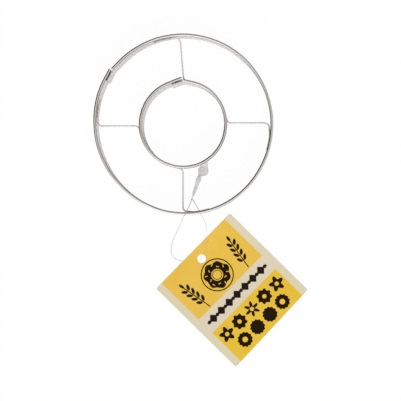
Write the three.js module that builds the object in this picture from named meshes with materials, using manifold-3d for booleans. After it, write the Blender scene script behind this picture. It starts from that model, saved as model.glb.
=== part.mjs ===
// Doughnut cutter of tinplate strip and wire, with the hang tag that is looped round its rim.
// Millimetres, +Z up. The origin is on the axis of the rings, on the surface that the cutter stands on.
// +X lies along one of the spokes, and +Y close to the next one.

import * as THREE from 'three';
import { mergeVertices } from 'three/addons/utils/BufferGeometryUtils.js';
import loadManifold from 'manifold-3d';

const wasm = await loadManifold();
wasm.setup();

// Rings: a strip with its upper edge folded outwards into a hem, rolled up so that its ends lap.
const OUTER_DIAMETER = 83.4; // across the hem
const INNER_DIAMETER = 40.8; // across the hem
const RING_HEIGHT = 22;
const STRIP_THICKNESS = 0.35;
const HEM_HEIGHT = 3;
const HEM_GAP = 0.7; // left open inside the fold
const OUTER_LAP = 5; // length of the tab that lies inside the covering end
const INNER_LAP = 5.2;
const OUTER_LAP_BEARING = 143.2; // degrees, at the tip of the covering end
const INNER_LAP_BEARING = 91.3;
const LAP_GAP = 0.1; // between the tab and the covering end
const NOTCH_SPACE = 0.7; // along the strip, from that tip to where the hem of the tab's end stops
const LAP_EASE = 22; // length over which the covering end swings out over the tab
const STRAIGHT_END = 4.5; // length of the covering end that was left straight when the strip was rolled
const OUTER_STEPS = 96;
const INNER_STEPS = 72;
const TAB_STEPS = 3;
const FOLD_STEPS = 4; // facets over the fold's outside
const FOLD_INSIDE_STEPS = 2;

// Spokes: round wire bent into a Z, with a foot welded along each wall.
const WIRE_DIAMETER = 0.7;
const WIRE_BEND_RADIUS = 1.8;
const OUTER_FOOT = 10;
const INNER_FOOT = 7;
const SPOKE_DROP = 4.2; // from the top of the rings down to the wire's centre
const WELD_GAP = 0.12; // between a foot and its wall
const WIRE_SIDES = 8;
const WIRE_STEPS = 44;
// A spoke's span runs beside the axis at an offset, in millimetres, on its left as seen from the axis.
const SPOKES = [
  { name: 'spoke_right', bearing: 0, offset: 0.68, hand: -1 },
  { name: 'spoke_top', bearing: 94.9, offset: -1.81, hand: 1 },
  { name: 'spoke_left', bearing: 180, offset: 0.63, hand: -1 },
  { name: 'spoke_bottom', bearing: 270, offset: -0.2, hand: 1 },
];

// Loop: a nylon filament over the hem, under the card, up through the card's hole and back under the rim.
const STRING_DIAMETER = 0.42;
const STRING_CLEARANCE = 0.15; // over the filament, below the rim and below the card
const STRING_SIDES = 8;
const STRING_STEPS = 80;
const STRING_END_GAP = 0.3; // to the plug and to the socket's tail
const STRING_ROUTE = [
  [3.32, -34.35, 7.6],
  [3.14, -35.21, 9.9],
  [2.66, -36.82, 14],
  [2.27, -38.25, 18.2],
  [1.91, -39.3, 21],
  [1.71, -39.95, 22.66],
  [1.29, -40.83, 23.16],
  [0.84, -41.72, 22.9],
  [0.47, -42.3, 21.7],
  [-0.38, -43.42, 18.2],
  [-1.45, -45.2, 12.8],
  [-2.78, -47.67, 6.8],
  [-5.02, -51.48, 1.6],
  [-5.81, -53.45, 0.54],
  [-6.33, -55.12, 0.28],
  [-6.57, -56.8, 0.26],
  [-6.52, -58.42, 0.26],
  [-6.02, -59.96, 0.26],
  [-5.17, -61.03, 0.26],
  [-4.1, -61.81, 0.26],
  [-2.2, -62.38, 0.26],
  [0.13, -62.57, 0.26],
  [2.46, -62.43, 0.28],
  [5.8, -61.83, 0.28],
  [7.55, -61.47, 0.77],
  [8.78, -60.31, 1.35],
  [9.43, -57.72, 1.38],
  [9.94, -54.47, 1.38],
  [10.08, -50.84, 1.38],
  [9.98, -48.19, 1.3],
  [9.41, -44.88, 0.92],
  [8.32, -42.54, 0.4],
  [7.38, -41.23, 0.26],
  [6.59, -39.51, 0.26],
  [6.09, -38.44, 0.27],
  [5.7, -37.67, 1],
  [5.07, -36.61, 2.8],
  [4.36, -35.14, 4.9],
  [3.85, -34.34, 5.9],
];

// Lock of the loop: a round socket beside the inner ring, and the plug that is pushed into it.
const HEAD_DIAMETER = 4.9;
const HEAD_SPACE = 0.62; // from the inner ring's wall
const HEAD_BEARING = -67.7; // degrees
const HEAD_REST = 0.13; // the head clears the plane of the rings' lower edges
const HEAD_ASIDE = 0.8; // from the plug's axis to the head's centre
// The head's nose in plan, from the head's centre: along the stem's direction, and away from the plug's axis
const NOSE_OUTLINE = [
  [-0.05, 2.43],
  [-4.76, 0.71],
  [-1.62, -2.01],
  [-0.7, -2.3],
];
const NOSE_THICKNESS = 2.6;
const STEM_HEADING = -108; // degrees, in plan
const STEM_PITCH = 14.7; // degrees, upwards
const COLLAR_DIAMETER = 2;
const COLLAR_REACH = 3.5; // from the level of the head's centre
const BORE_DIAMETER = 1.4;
const BORE_DEPTH = 4.4; // from the collar's face
const PLUG_CLEARANCE = 0.2; // round the barb, and before the bore's end
const PLUG_SEAT_GAP = 0.15; // between the shoulder and the collar
const SHAFT_DIAMETER = 0.7;
const BARB_LENGTH = 0.9;
const SHOULDER_DIAMETER = 2.5;
const SHOULDER_LENGTH = 2;
const STEM_DIAMETER = 2; // at the shoulder
const STEM_THIN_DIAMETER = 1.6; // where its point starts
const STEM_POINT = 3.2; // length over which it narrows to the filament
const STEM_LENGTH = 8.65;
const TAIL_GAP = 0.15; // between the socket's tail and the plug
const TAIL_STEPS = 12;
const LOCK_SIDES = 16;
const HEAD_STEPS = 6;

// Hang tag: one leaf of card. Its own +Y points to the edge beside the hole.
const TAG_WIDTH = 49;
const TAG_HEIGHT = 51.4; // along its middle
const TAG_SKEW = 1.2; // by which its left side is longer than its right one
const TAG_THICKNESS = 0.4;
const TAG_CORNER_RADIUS = 0.8;
const TAG_HOLE_DIAMETER = 4;
const TAG_HOLE_ASIDE = 0.2; // to the right of the middle
const TAG_HOLE_DROP = 5.45; // from the upper edge to the hole's centre
const TAG_HOLE_X = 7.63;
const TAG_HOLE_Y = -61.56;
const TAG_TURN = 45.5; // degrees
const TAG_CURVE_STEPS = 10;

// Worked out from the sizes above
const HEM_THICKNESS = 2 * STRIP_THICKNESS + HEM_GAP;
const OUTER_WALL_INSIDE = OUTER_DIAMETER / 2 - HEM_THICKNESS;
const INNER_WALL_INSIDE = INNER_DIAMETER / 2 - HEM_THICKNESS;
const INNER_WALL_OUTSIDE = INNER_WALL_INSIDE + STRIP_THICKNESS;
const RIM_LIFT = STRING_DIAMETER + STRING_CLEARANCE; // the rim and the card lie on the filament
const MERGE_DISTANCE = 1e-4;

const radians = THREE.MathUtils.degToRad;

function finish(color, roughness, metalness) {
  return new THREE.MeshStandardMaterial({ color, roughness, metalness });
}

const tinplate = finish(0xc4c1bd, 0.22, 1);
const steelWire = finish(0xaaa8a6, 0.3, 1);
const nylon = finish(0xe9e9e6, 0.3, 0);
const printedCard = finish(0xe3bd55, 0.6, 0);

function named(name, geometry, material) {
  const mesh = new THREE.Mesh(geometry, material);
  mesh.name = name;
  return mesh;
}

// A regular polygon, as the section of a wire or filament
function roundSection(diameter, sides) {
  const corner = (point, i) => {
    const angle = ((i + 0.5) * 2 * Math.PI) / sides;
    return new THREE.Vector2(Math.cos(angle), Math.sin(angle)).multiplyScalar(diameter / 2);
  };
  return new THREE.Shape(Array.from({ length: sides }, corner));
}

function tube(path, diameter, sides, steps) {
  return new THREE.ExtrudeGeometry(roundSection(diameter, sides), { extrudePath: path, steps });
}

// Half a circle in the plane of a strip's section, without its two end points
function foldArc(centre, height, radius, steps, backwards) {
  const points = [];
  for (let i = 1; i < steps; i += 1) {
    const angle = backwards ? Math.PI * (1 - i / steps) : (Math.PI * i) / steps;
    points.push([centre + radius * Math.cos(angle), height + radius * Math.sin(angle)]);
  }
  return points;
}

// Section of the hemmed strip, as [distance outwards from the wall's inner face, height].
// Its first three points and its last one are the corners of the plain wall.
function hemmedSection() {
  const shoulder = RING_HEIGHT - HEM_THICKNESS / 2;
  const hemFoot = RING_HEIGHT - HEM_HEIGHT;
  const legInside = STRIP_THICKNESS + HEM_GAP;
  const middle = HEM_THICKNESS / 2;
  return [
    [0, 0],
    [STRIP_THICKNESS, 0],
    [STRIP_THICKNESS, shoulder],
    ...foldArc(middle, shoulder, HEM_GAP / 2, FOLD_INSIDE_STEPS, true),
    [legInside, shoulder],
    [legInside, hemFoot],
    [HEM_THICKNESS, hemFoot],
    [HEM_THICKNESS, shoulder],
    ...foldArc(middle, shoulder, HEM_THICKNESS / 2, FOLD_STEPS, false),
    [0, shoulder],
  ];
}

// How far the covering end stands outwards at a distance from its tip
function lapSwing(distance, lap, radius) {
  const past = THREE.MathUtils.clamp((distance - lap - NOTCH_SPACE) / LAP_EASE, 0, 1);
  const straight = Math.max(STRAIGHT_END - distance, 0);
  const lift = ((STRIP_THICKNESS + LAP_GAP) * (1 + Math.cos(Math.PI * past))) / 2;
  return lift + Math.hypot(radius, straight) - radius;
}

// The strip runs from the tip of the covering end once round to the tab, which has no hem.
function ringGeometry(wallInside, lap, lapBearing, steps) {
  const section = hemmedSection();
  const wall = [section[0], section[1], section[2], section.at(-1)];
  const turn = 1 / (wallInside + STRIP_THICKNESS / 2); // radians for each millimetre of strip
  const tip = radians(lapBearing);
  const hemEnd = tip + 2 * Math.PI - NOTCH_SPACE * turn;
  const tabEnd = tip + 2 * Math.PI + lap * turn;
  const vertices = [];
  const triangles = [];

  const addSection = (points, angle) => {
    const inside = wallInside + lapSwing((angle - tip) / turn, lap, wallInside);
    return points.map(([outwards, height]) => {
      const radius = inside + outwards;
      vertices.push(radius * Math.cos(angle), radius * Math.sin(angle), height);
      return vertices.length / 3 - 1;
    });
  };
  const addSkin = (near, far) => {
    near.forEach((id, i) => {
      const next = (i + 1) % near.length;
      triangles.push(id, far[i], far[next], id, far[next], near[next]);
    });
  };
  const addCap = (ids, points, facesBack) => {
    const contour = points.map(([outwards, height]) => new THREE.Vector2(outwards, height));
    for (const [a, b, c] of THREE.ShapeUtils.triangulateShape(contour, [])) {
      triangles.push(ids[a], facesBack ? ids[b] : ids[c], facesBack ? ids[c] : ids[b]);
    }
  };

  let ids = addSection(section, tip);
  addCap(ids, section, true);
  for (let i = 1; i <= steps; i += 1) {
    const next = addSection(section, THREE.MathUtils.lerp(tip, hemEnd, i / steps));
    addSkin(ids, next);
    ids = next;
  }
  addCap(ids.slice(2), section.slice(2), false);
  ids = [ids[0], ids[1], ids[2], ids.at(-1)];
  for (let i = 1; i <= TAB_STEPS; i += 1) {
    const next = addSection(wall, THREE.MathUtils.lerp(hemEnd, tabEnd, i / TAB_STEPS));
    addSkin(ids, next);
    ids = next;
  }
  addCap(ids, wall, false);

  const geometry = new THREE.BufferGeometry();
  geometry.setAttribute('position', new THREE.Float32BufferAttribute(vertices, 3));
  geometry.setIndex(triangles);
  return geometry;
}

// An arc in a level plane
class LevelArc extends THREE.Curve {
  constructor(centreX, centreY, radius, from, to) {
    super();
    Object.assign(this, { centreX, centreY, radius, from, to });
  }

  getPoint(t, target = new THREE.Vector3()) {
    const angle = THREE.MathUtils.lerp(this.from, this.to, t);
    const x = this.centreX + this.radius * Math.cos(angle);
    const y = this.centreY + this.radius * Math.sin(angle);
    return target.set(x, y, 0);
  }
}

// A spoke along +X. Its outer foot goes towards +Y where hand is 1, its inner foot the other way.
function spokePath(offset, hand) {
  const bend = WIRE_BEND_RADIUS;
  const span = offset * hand;
  const outerRun = OUTER_WALL_INSIDE - WELD_GAP - WIRE_DIAMETER / 2;
  const innerRun = INNER_WALL_OUTSIDE + WELD_GAP + WIRE_DIAMETER / 2;
  const outerBendX = Math.sqrt((outerRun - bend) ** 2 - (span + bend) ** 2);
  const innerBendX = Math.sqrt((innerRun + bend) ** 2 - (span - bend) ** 2);
  const outerTouch = Math.atan2(span + bend, outerBendX);
  const innerTouch = Math.atan2(span - bend, innerBendX);
  const arc = (x, y, radius, from, to) => new LevelArc(x, y * hand, radius, from * hand, to * hand);
  const path = new THREE.CurvePath();
  const spanFrom = new THREE.Vector3(innerBendX, offset, 0);
  const spanTo = new THREE.Vector3(outerBendX, offset, 0);
  path.add(arc(0, 0, innerRun, innerTouch - INNER_FOOT / innerRun, innerTouch));
  path.add(arc(innerBendX, span - bend, bend, Math.PI + innerTouch, Math.PI / 2));
  path.add(new THREE.LineCurve3(spanFrom, spanTo));
  path.add(arc(outerBendX, span + bend, bend, -Math.PI / 2, outerTouch));
  path.add(arc(0, 0, outerRun, outerTouch, outerTouch + OUTER_FOOT / outerRun));
  return path;
}

function makeCutter() {
  const cutter = new THREE.Group();
  cutter.position.z = RIM_LIFT;
  const outerRing = ringGeometry(OUTER_WALL_INSIDE, OUTER_LAP, OUTER_LAP_BEARING, OUTER_STEPS);
  const innerRing = ringGeometry(INNER_WALL_INSIDE, INNER_LAP, INNER_LAP_BEARING, INNER_STEPS);
  cutter.add(named('outer_ring', outerRing, tinplate));
  cutter.add(named('inner_ring', innerRing, tinplate));
  for (const { name, bearing, offset, hand } of SPOKES) {
    const wire = tube(spokePath(offset, hand), WIRE_DIAMETER, WIRE_SIDES, WIRE_STEPS);
    const spoke = named(name, wire, steelWire);
    spoke.rotation.z = radians(bearing);
    spoke.position.z = RING_HEIGHT - SPOKE_DROP;
    cutter.add(spoke);
  }
  return cutter;
}

function toManifold(geometry) {
  const bare = new THREE.BufferGeometry();
  bare.setAttribute('position', geometry.getAttribute('position'));
  bare.setIndex(geometry.getIndex());
  const merged = mergeVertices(bare, MERGE_DISTANCE);
  const corners = merged.getIndex().array;
  const triVerts = [];
  for (let i = 0; i < corners.length; i += 3) {
    const [a, b, c] = corners.slice(i, i + 3);
    if (a !== b && b !== c && c !== a) triVerts.push(a, b, c);
  }
  const vertProperties = merged.getAttribute('position').array;
  const mesh = new wasm.Mesh({ numProp: 3, vertProperties, triVerts: new Uint32Array(triVerts) });
  return new wasm.Manifold(mesh);
}

function toGeometry(manifold) {
  const { vertProperties, triVerts } = manifold.getMesh();
  const geometry = new THREE.BufferGeometry();
  geometry.setAttribute('position', new THREE.BufferAttribute(vertProperties, 3));
  geometry.setIndex(new THREE.BufferAttribute(triVerts, 1));
  return geometry;
}

// A solid of revolution about the lock's axis, which is +X here, from [radius, distance along the axis]
function turned(profile) {
  const points = profile.map(([radius, along]) => new THREE.Vector2(radius, along));
  return new THREE.LatheGeometry(points, LOCK_SIDES).rotateZ(-Math.PI / 2);
}

const SHOULDER_FROM = COLLAR_REACH + PLUG_SEAT_GAP;
const STEM_FROM = SHOULDER_FROM + SHOULDER_LENGTH;
const STEM_END = STEM_FROM + STEM_LENGTH;
const TAIL_OFFSET = STRING_DIAMETER + TAIL_GAP; // below the stem's end

// The filament's other end grows out of the head, passes under the shoulder and runs along the stem.
function socketTail() {
  const underShoulder = SHOULDER_DIAMETER / 2 + TAIL_GAP + STRING_DIAMETER / 2;
  const underPoint = STEM_THIN_DIAMETER / 2 + TAIL_GAP + STRING_DIAMETER / 2;
  return new THREE.CatmullRomCurve3([
    new THREE.Vector3(0.2 * HEAD_DIAMETER, 0, -underShoulder),
    new THREE.Vector3(COLLAR_REACH, 0, -underShoulder),
    new THREE.Vector3(STEM_FROM, 0, -underShoulder),
    new THREE.Vector3(STEM_END - STEM_POINT, 0, -underPoint),
    new THREE.Vector3(STEM_END, 0, -TAIL_OFFSET),
  ]);
}

function socketGeometry() {
  const round = HEAD_DIAMETER / 2;
  const ball = [];
  for (let i = 0; i <= HEAD_STEPS; i += 1) {
    const angle = Math.PI * (1 - i / HEAD_STEPS);
    ball.push([round * Math.sin(angle), round * Math.cos(angle)]);
  }
  const nosePlan = new THREE.Shape(NOSE_OUTLINE.map(([along, aside]) => new THREE.Vector2(along, aside)));
  const nose = new THREE.ExtrudeGeometry(nosePlan, { depth: NOSE_THICKNESS, bevelEnabled: false });
  const collar = turned([
    [0, 0],
    [COLLAR_DIAMETER / 2, 0],
    [COLLAR_DIAMETER / 2, COLLAR_REACH],
    [0, COLLAR_REACH],
  ]);
  const bore = turned([
    [0, COLLAR_REACH - BORE_DEPTH],
    [BORE_DIAMETER / 2, COLLAR_REACH - BORE_DEPTH],
    [BORE_DIAMETER / 2, COLLAR_REACH + 1],
    [0, COLLAR_REACH + 1],
  ]);
  const tail = tube(socketTail(), STRING_DIAMETER, STRING_SIDES, TAIL_STEPS);
  const head = toManifold(turned(ball).translate(0, HEAD_ASIDE, 0))
    .add(toManifold(nose.translate(0, HEAD_ASIDE, -NOSE_THICKNESS / 2)))
    .add(toManifold(collar))
    .add(toManifold(tail));
  return toGeometry(head.subtract(toManifold(bore)));
}

function plugGeometry() {
  const tipAt = COLLAR_REACH - BORE_DEPTH + PLUG_CLEARANCE;
  const barbAt = tipAt + BARB_LENGTH;
  return turned([
    [0, tipAt],
    [BORE_DIAMETER / 2 - PLUG_CLEARANCE, barbAt],
    [SHAFT_DIAMETER / 2, barbAt],
    [SHAFT_DIAMETER / 2, SHOULDER_FROM],
    [SHOULDER_DIAMETER / 2, SHOULDER_FROM],
    [SHOULDER_DIAMETER / 2, STEM_FROM],
    [STEM_DIAMETER / 2, STEM_FROM],
    [STEM_THIN_DIAMETER / 2, STEM_END - STEM_POINT],
    [STRING_DIAMETER / 2, STEM_END],
    [0, STEM_END],
  ]);
}

function makeLock() {
  const lock = new THREE.Group();
  const reach = INNER_WALL_OUTSIDE + HEAD_SPACE + HEAD_DIAMETER / 2;
  const bearing = radians(HEAD_BEARING);
  const height = RIM_LIFT + HEAD_REST + HEAD_DIAMETER / 2;
  const head = new THREE.Vector3(reach * Math.cos(bearing), reach * Math.sin(bearing), height);
  lock.rotation.set(0, -radians(STEM_PITCH), radians(STEM_HEADING), 'ZYX');
  lock.position.copy(head).sub(new THREE.Vector3(0, HEAD_ASIDE, 0).applyEuler(lock.rotation));
  lock.add(named('lock_socket', socketGeometry(), nylon));
  lock.add(named('lock_plug', plugGeometry(), nylon));
  lock.updateMatrixWorld();
  return lock;
}

function makeString(lock) {
  const endAt = (drop) => lock.localToWorld(new THREE.Vector3(STEM_END + STRING_END_GAP, 0, -drop));
  const route = STRING_ROUTE.map((point) => new THREE.Vector3(...point));
  const path = new THREE.CatmullRomCurve3([endAt(0), ...route, endAt(TAIL_OFFSET)]);
  return named('loop_string', tube(path, STRING_DIAMETER, STRING_SIDES, STRING_STEPS), nylon);
}

function makeTag() {
  const top = TAG_HOLE_DROP - TAG_CORNER_RADIUS;
  const bottom = TAG_HOLE_DROP - TAG_HEIGHT + TAG_CORNER_RADIUS;
  const right = TAG_WIDTH / 2 - TAG_HOLE_ASIDE - TAG_CORNER_RADIUS;
  const left = TAG_CORNER_RADIUS - TAG_WIDTH / 2 - TAG_HOLE_ASIDE;
  const outline = new THREE.Shape();
  outline.absarc(right, top, TAG_CORNER_RADIUS, 0, Math.PI / 2);
  outline.absarc(left, top, TAG_CORNER_RADIUS, Math.PI / 2, Math.PI);
  outline.absarc(left, bottom - TAG_SKEW / 2, TAG_CORNER_RADIUS, Math.PI, 1.5 * Math.PI);
  outline.absarc(right, bottom + TAG_SKEW / 2, TAG_CORNER_RADIUS, 1.5 * Math.PI, 2 * Math.PI);
  const hole = new THREE.Path().absarc(0, 0, TAG_HOLE_DIAMETER / 2, 0, 2 * Math.PI, true);
  outline.holes.push(hole);
  const settings = { depth: TAG_THICKNESS, bevelEnabled: false, curveSegments: TAG_CURVE_STEPS };
  const card = named('tag_card', new THREE.ExtrudeGeometry(outline, settings), printedCard);
  card.position.set(TAG_HOLE_X, TAG_HOLE_Y, RIM_LIFT);
  card.rotation.z = radians(TAG_TURN);
  return card;
}

const lock = makeLock();
const donutCutter = new THREE.Group();
donutCutter.add(makeCutter(), lock, makeString(lock), makeTag());

export default donutCutter;
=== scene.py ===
import math

import bmesh
import bpy
from mathutils import Euler, Matrix, Vector


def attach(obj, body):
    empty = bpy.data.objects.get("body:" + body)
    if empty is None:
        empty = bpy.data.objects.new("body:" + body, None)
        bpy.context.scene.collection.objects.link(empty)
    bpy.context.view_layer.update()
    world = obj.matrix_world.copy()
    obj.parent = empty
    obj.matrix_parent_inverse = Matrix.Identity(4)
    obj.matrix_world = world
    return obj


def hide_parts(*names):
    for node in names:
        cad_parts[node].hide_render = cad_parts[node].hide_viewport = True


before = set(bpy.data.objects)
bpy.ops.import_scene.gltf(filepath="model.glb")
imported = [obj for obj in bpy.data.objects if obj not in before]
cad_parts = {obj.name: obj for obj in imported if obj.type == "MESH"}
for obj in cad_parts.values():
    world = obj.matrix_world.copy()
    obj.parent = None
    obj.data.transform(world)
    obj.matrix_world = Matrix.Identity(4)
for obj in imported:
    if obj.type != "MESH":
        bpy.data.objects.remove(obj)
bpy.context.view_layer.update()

MM = 0.001
CRISP = 40.0  # degrees between faces, above which their edge is a crease

# Sizes of the cutter, in millimetres
RIM_LIFT = 0.57  # the rings and the card lie on the filament
OUTER_DIAMETER = 83.4  # across the hem
INNER_DIAMETER = 40.8
RING_HEIGHT = 22.0
STRIP = 0.35  # thickness
HEM_HEIGHT = 3.0
HEM_GAP = 0.7
HEM = 2 * STRIP + HEM_GAP
OUTER_WALL = OUTER_DIAMETER / 2 - HEM  # inner face
INNER_WALL = INNER_DIAMETER / 2 - HEM
OUTER_LAP, OUTER_LAP_BEARING = 5.0, 143.0
INNER_LAP, INNER_LAP_BEARING = 4.9, 92.3
LAP_GAP = 0.1
NOTCH_SPACE = 0.6
LAP_EASE = 22.0  # length over which the covering end swings out over the tab
STRAIGHT_END = 6.6  # length of the covering end that was not rolled
STRAIGHT_TAB = 4.8  # the same before the notch
TAB_DIP = 0.42  # by which the tab's end leans into the ring
EDGE_ROUND = 0.06  # on the cut edges of the strip
# How far each hand-rolled ring departs from a circle: size, number of crests, and one's bearing in radians
OUTER_LOBES = [(0.15, 1, 0.85), (0.34, 2, -1.1), (0.16, 3, 0.83)]
INNER_LOBES = [(0.1, 1, -2.7), (0.05, 2, 0.96), (0.09, 3, 0.99)]
# Flare of the outer ring's lower edge: its size, and its middle and reach in radians round the ring
FLARE, FLARE_BEARING, FLARE_REACH = 0.42, 1.71, 0.85
# Ripples of each wall, which grow with its height: size, number round the ring, and phase
OUTER_WAVES = [(0.05, 3, 0.4), (0.03, 7, 1.9), (0.018, 17, 0.8)]
INNER_WAVES = [(0.03, 3, 2.0), (0.02, 8, 0.3), (0.012, 15, 1.1)]
ROW_SPACE = 0.09  # least height between two rows of a wall's mesh
STRIDE, FINE_STRIDE, FINE_REACH = 0.9, 0.32, 0.6  # round a ring's mesh, finer up to this far off a weld
WIRE = 0.7
INNER_BEND = 2.3
OUTER_FOOT, INNER_FOOT = 10.0, 7.0
WIRE_DROP = 4.2  # from the rim to the wire's middle
WIRE_HEIGHT = RIM_LIFT + RING_HEIGHT - WIRE_DROP
WELD_GAP = 0.12
FOOT_SINK, FOOT_EASE = 0.33, 3.5  # by which a foot is drawn into the wall, and over what length
FOOT_STAND = 0.35  # off the inner wall, where a foot starts
FOOT_FLAT, FOOT_SPREAD = 0.11, 0.06  # by which a foot is thinner across the wall, and higher
WIRE_SIDES = 20
CUT_ROUND, CUT_EASE = 0.12, 0.14  # on the wire's cut ends: off its radius, and along it
# For each spoke its bearing, its span's offset from the axis, the side to which its outer foot goes and that
# bend's radius
SPOKES = {
    "right": (0.0, 0.68, -1, 2.5), "top": (94.9, -1.81, 1, 2.2),
    "left": (180.0, 0.63, -1, 2.2), "bottom": (270.0, -0.2, 1, 1.8),
}
OUTER_WELDS, INNER_WELDS = (2.4, 6.6), (1.6, 4.8)  # along a foot, from where it meets the wall
WELD_RADIUS, WELD_DENT = 1.15, 0.05
WELD_REACH, WELD_TINT_REACH = 1.3, 1.5  # along a wire
WELD_FILL, WELD_SPREAD = 1.15, 0.05  # share of the gap that a weld fills, and what it adds to a wire's height
LAP_WELD_HEIGHTS = (5.5, 14.0)

# Sizes of the loop and its lock, whose own frame lies along the plug
STRING = 0.42
STRING_SHOWN = 0.5  # with its soft edge
STRING_LIFT = 0.005  # least gap to the floor
HEAD = 4.9
HEAD_GAP, HEAD_LIFT = 0.62, 0.13  # off the inner ring's wall, and above the rings' lower edges
HEAD_RADIUS, HEAD_BEARING = INNER_WALL + STRIP + HEAD_GAP + HEAD / 2, -67.7
HEAD_HEIGHT = RIM_LIFT + HEAD_LIFT + HEAD / 2
HEAD_ASIDE = 0.8  # from the plug's axis
STEM_HEADING, STEM_PITCH = -108.0, 14.7
NOSE_OUTLINE = [(-0.05, 2.43), (-4.76, 0.71), (-1.62, -2.01), (-0.7, -2.3)]  # from the head's centre
NOSE_THICK = 2.6
# Inset of the nose's outline and height as a share of its thickness, from below
NOSE_LAYERS = [(0.25, -0.5), (0.07, -0.43), (0.0, -0.3), (0.0, 0.3), (0.07, 0.43), (0.25, 0.5)]
COLLAR, COLLAR_REACH, COLLAR_EASE = 1.75, 3.5, 0.1
BORE, BORE_DEPTH = 1.4, 4.4
SHAFT = 0.7
PLUG_CLEARANCE, PLUG_EASE = 0.2, 0.12
SHOULDER, SHOULDER_FROM, STEM_FROM = 2.4, 3.65, 5.65
STEM, STEM_THIN, STEM_POINT, STEM_END = 2.0, 1.6, 3.2, 14.3
STEM_TIP, STRING_START = STEM_END + 0.25, STEM_END + 0.3
TAIL_GAP = 0.15
TAIL_OFFSET = STRING + TAIL_GAP
UNDER_SHOULDER = SHOULDER / 2 + TAIL_GAP + STRING / 2
UNDER_POINT = STEM_THIN / 2 + TAIL_GAP + STRING / 2
STRING_ROUTE = [
    (3.32, -34.35, 7.6), (3.14, -35.21, 9.9), (2.66, -36.82, 14), (2.27, -38.25, 18.2),
    (1.91, -39.3, 21), (1.71, -39.95, 22.66), (1.29, -40.83, 23.16), (0.84, -41.72, 22.9),
    (0.47, -42.3, 21.7), (-0.38, -43.42, 18.2), (-1.45, -45.2, 12.8), (-2.78, -47.67, 6.8),
    (-5.02, -51.48, 1.6), (-5.81, -53.45, 0.54), (-6.33, -55.12, 0.28), (-6.57, -56.8, 0.26),
    (-6.52, -58.42, 0.26), (-6.02, -59.96, 0.26), (-5.17, -61.03, 0.26), (-4.1, -61.81, 0.26),
    (-2.2, -62.38, 0.26), (0.13, -62.57, 0.26), (2.46, -62.43, 0.28), (5.8, -61.83, 0.28),
    (7.55, -61.47, 0.77), (8.78, -60.31, 1.35), (9.43, -57.72, 1.38), (9.94, -54.47, 1.38),
    (10.08, -50.84, 1.38), (9.98, -48.19, 1.3), (9.41, -44.88, 0.92), (8.32, -42.54, 0.4),
    (7.38, -41.23, 0.26), (6.59, -39.51, 0.26), (6.09, -38.44, 0.27), (5.7, -37.67, 1),
    (5.07, -36.61, 2.8), (4.36, -35.14, 4.9), (3.85, -34.34, 5.9),
]

# Sizes of the card, whose own origin is the centre of its hole
CARD_WIDTH, CARD_HEIGHT, CARD_THICK = 49.0, 51.4, 0.4
CARD_SKEW = 1.2  # by which its left side is longer
CARD_CORNER = 0.8
CARD_EDGE_ROUND = 0.05
HOLE = 4.0
HOLE_ASIDE, HOLE_DROP = 0.2, 5.45  # to the right of the card's middle, and below its upper edge
HOLE_PLACE = (7.63, -61.56)
CARD_TURN = 45.5
CARD_MARGIN = 3.6  # bare at each side
FIELD_BOTTOM = -19.0  # lower edge of the upper coloured field
BAND_BOTTOM = -27.7  # upper edge of the lower one
ICED_ROW, EAR_ROW, EAR_ASIDE = -10.4, -14.6, 13.4  # on the upper field
BAND_PITCH, BAND_REACH = 5.2, 19.3  # of the lozenges on the band
MOTIF_PITCH, FLOWER_ROW, PASTRY_ROW = 8.2, -33.0, -40.7  # on the lower field

# The camera of the photograph
CAMERA_PLACE = (87.8, -100.0, 2000.0)
CAMERA_TARGET = (7.09, -34.43, 0.0)
CAMERA_LENS = 386.63

# Levels of the studio that the metal mirrors
ZENITH, ROUND, DIM, ACROSS, SIDE = 0.3, 0.85, 0.03, 0.35, 0.42


def make_camera():
    data = bpy.data.cameras.new("camera")
    data.lens = CAMERA_LENS
    data.sensor_width = 36.0
    data.clip_start, data.clip_end = 0.05, 50.0
    camera = bpy.data.objects.new("camera", data)
    place, target = Vector(CAMERA_PLACE) * MM, Vector(CAMERA_TARGET) * MM
    ahead = (target - place).normalized()
    right = ahead.cross(Vector((0, 1, 0))).normalized()
    turn = Matrix((right, right.cross(ahead), -ahead)).transposed()
    camera.matrix_world = Matrix.Translation(place) @ turn.to_4x4()
    bpy.context.collection.objects.link(camera)
    bpy.context.scene.camera = camera


make_camera()


# Node trees

class Value:
    """A socket of a node tree. Arithmetic on it adds Math nodes."""

    def __init__(self, tree, socket):
        self.tree = tree
        self.socket = socket

    def math(self, operation, *terms):
        return self.tree.node("ShaderNodeMath", {"operation": operation}, dict(enumerate(terms)))

    def __add__(self, other):
        return self.math("ADD", self, other)

    def __radd__(self, other):
        return self.math("ADD", other, self)

    def __sub__(self, other):
        return self.math("SUBTRACT", self, other)

    def __rsub__(self, other):
        return self.math("SUBTRACT", other, self)

    def __mul__(self, other):
        return self.math("MULTIPLY", self, other)

    def __rmul__(self, other):
        return self.math("MULTIPLY", other, self)

    def __truediv__(self, other):
        return self.math("DIVIDE", self, other)

    def __pow__(self, other):
        return self.math("POWER", self, other)

    def __mod__(self, other):
        return self.math("FLOORED_MODULO", self, other)

    def __abs__(self):
        return self.math("ABSOLUTE", self)

    def least(self, other):
        return self.math("MINIMUM", self, other)

    def most(self, other):
        return self.math("MAXIMUM", self, other)

    def cosine(self):
        return self.math("COSINE", self)

    def root(self):
        return self.math("SQRT", self)

    def rise(self, low, high):
        """0 below low, 1 above high and a smooth step between them"""
        sockets = {"Value": self, "From Min": low, "From Max": high}
        return self.tree.node("ShaderNodeMapRange", {"interpolation_type": "SMOOTHSTEP"}, sockets)


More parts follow.
